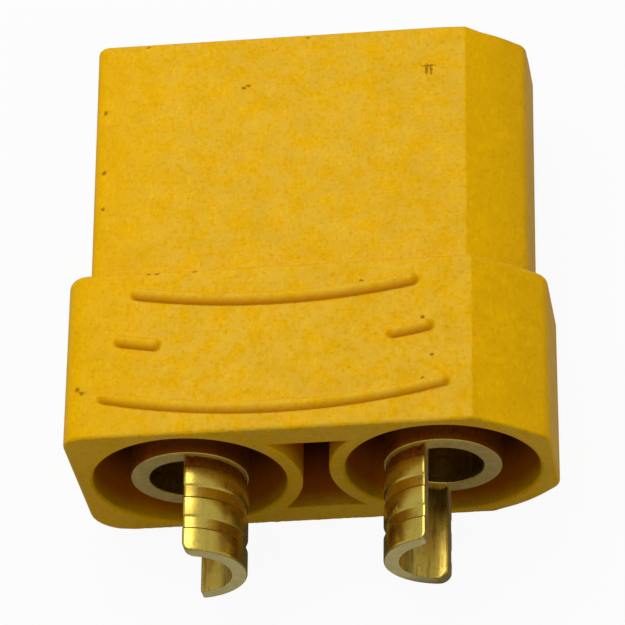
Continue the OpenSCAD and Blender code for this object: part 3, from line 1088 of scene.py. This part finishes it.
def floor_paper():
    """Pale floor that keeps the part's shadow, and is greyer in polished metal."""
    n = Nodes("floor_paper")
    path = n.add("LightPath")
    seen = path.outputs["Is Camera Ray"]
    mirrored = path.outputs["Is Glossy Ray"]
    n.join(n.shader.inputs["Base Color"], n.mix(mirrored, LIT_FLOOR, MIRRORED_FLOOR))
    n.shader.inputs["Roughness"].default_value = 0.9
    n.shader.inputs["Specular IOR Level"].default_value = 0.1
    white = n.add("Emission", Color=(1, 1, 1, 1), Strength=1.0)
    blend = n.add("MixShader", Fac=n.math("MULTIPLY", seen, FLOOR_GLOW))
    n.join(blend.inputs[1], n.shader.outputs["BSDF"])
    n.join(blend.inputs[2], white.outputs["Emission"])
    output = n.tree.nodes["Material Output"]
    n.join(output.inputs["Surface"], blend.outputs["Shader"])
    return n.material


# ==== Stage, lights and camera ====


def make_floor(material):
    """A wide pale floor under the part."""
    half = FLOOR_HALF
    mesh = bpy.data.meshes.new("floor")
    corners = [(-half, -half, 0), (half, -half, 0), (half, half, 0), (-half, half, 0)]
    mesh.from_pydata(corners, [], [(0, 1, 2, 3)])
    mesh.materials.append(material)
    floor = bpy.data.objects.new("floor", mesh)
    bpy.context.scene.collection.objects.link(floor)


def make_world():
    """Even pale surroundings: white to the camera, a grey room to polished metal."""
    world = bpy.data.worlds.new("studio")
    bpy.context.scene.world = world
    world.use_nodes = True
    tree = world.node_tree
    background = tree.nodes["Background"]
    background.inputs["Color"].default_value = (1, 1, 1, 1)
    path = tree.nodes.new("ShaderNodeLightPath")
    strength = None
    for ray, seen in (("Is Glossy Ray", GLOSSY_WORLD), ("Is Camera Ray", 1.0)):
        step = tree.nodes.new("ShaderNodeMapRange")
        step.inputs["To Min"].default_value = LIT_WORLD
        step.inputs["To Max"].default_value = seen
        if strength is not None:
            tree.links.new(strength, step.inputs["To Min"])
        tree.links.new(path.outputs[ray], step.inputs["Value"])
        strength = step.outputs["Result"]
    tree.links.new(strength, background.inputs["Strength"])


def make_softbox(name, direction, distance, width, length, share, mirrored=True):
    """An oblong lamp aimed at the part, which adds that share of full light to it."""
    lamp = bpy.data.lights.new(name, "AREA")
    lamp.shape = "RECTANGLE"
    lamp.size = width * MM
    lamp.size_y = length * MM
    lamp.energy = share * math.pi**2 * (distance * MM) ** 2
    made = bpy.data.objects.new(name, lamp)
    towards = Vector(direction).normalized()
    made.location = towards * distance * MM
    made.rotation_euler = towards.to_track_quat("Z", "Y").to_euler()
    made.visible_glossy = mirrored
    bpy.context.scene.collection.objects.link(made)


def make_camera():
    """The camera, above the wire end and rolled a little."""
    azimuth, elevation = math.radians(VIEW_AZIMUTH), math.radians(VIEW_ELEVATION)
    level_reach = math.cos(elevation)
    east, south = math.sin(azimuth) * level_reach, -math.cos(azimuth) * level_reach
    back = Vector((east, south, math.sin(elevation)))
    data = bpy.data.cameras.new("view")
    data.sensor_width = 36.0
    data.lens = LENS
    data.clip_start, data.clip_end = 0.01, 10.0
    camera = bpy.data.objects.new("view", data)
    level = back.to_track_quat("Z", "Y").to_matrix()
    roll = Matrix.Rotation(math.radians(VIEW_ROLL), 3, "Z")
    turned = (level @ roll).to_4x4()
    turned.translation = (Vector(VIEW_TARGET) + back * VIEW_DISTANCE) * MM
    camera.matrix_world = turned
    bpy.context.scene.collection.objects.link(camera)
    bpy.context.scene.camera = camera


# ==== Scene ====

plastic = [housing_plastic("housing_plastic"), housing_plastic("well_plastic_painted_shade", hollow=True)]
brass = [turned_brass(), cut_brass()]

housing = make_housing(plastic)
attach(housing, "root")
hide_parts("housing")

for contact_node, contact_side in (("square_end_contact", -1), ("chamfered_end_contact", 1)):
    contact = make_contact(contact_node, contact_side, brass)
    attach(contact, "root")
    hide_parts(contact_node)

make_floor(floor_paper())
make_world()
make_softbox("key", (-0.33, 0.2, 1.0), 120, 80, 90, 0.56, mirrored=False)
make_softbox("side", (1.0, -0.3, 0.02), 300, 160, 160, 0.26, mirrored=False)
make_softbox("card", (0.01, 0.5, 1.0), 300, 128, 200, 0.27)
make_camera()
bpy.context.scene.view_settings.view_transform = "Standard"
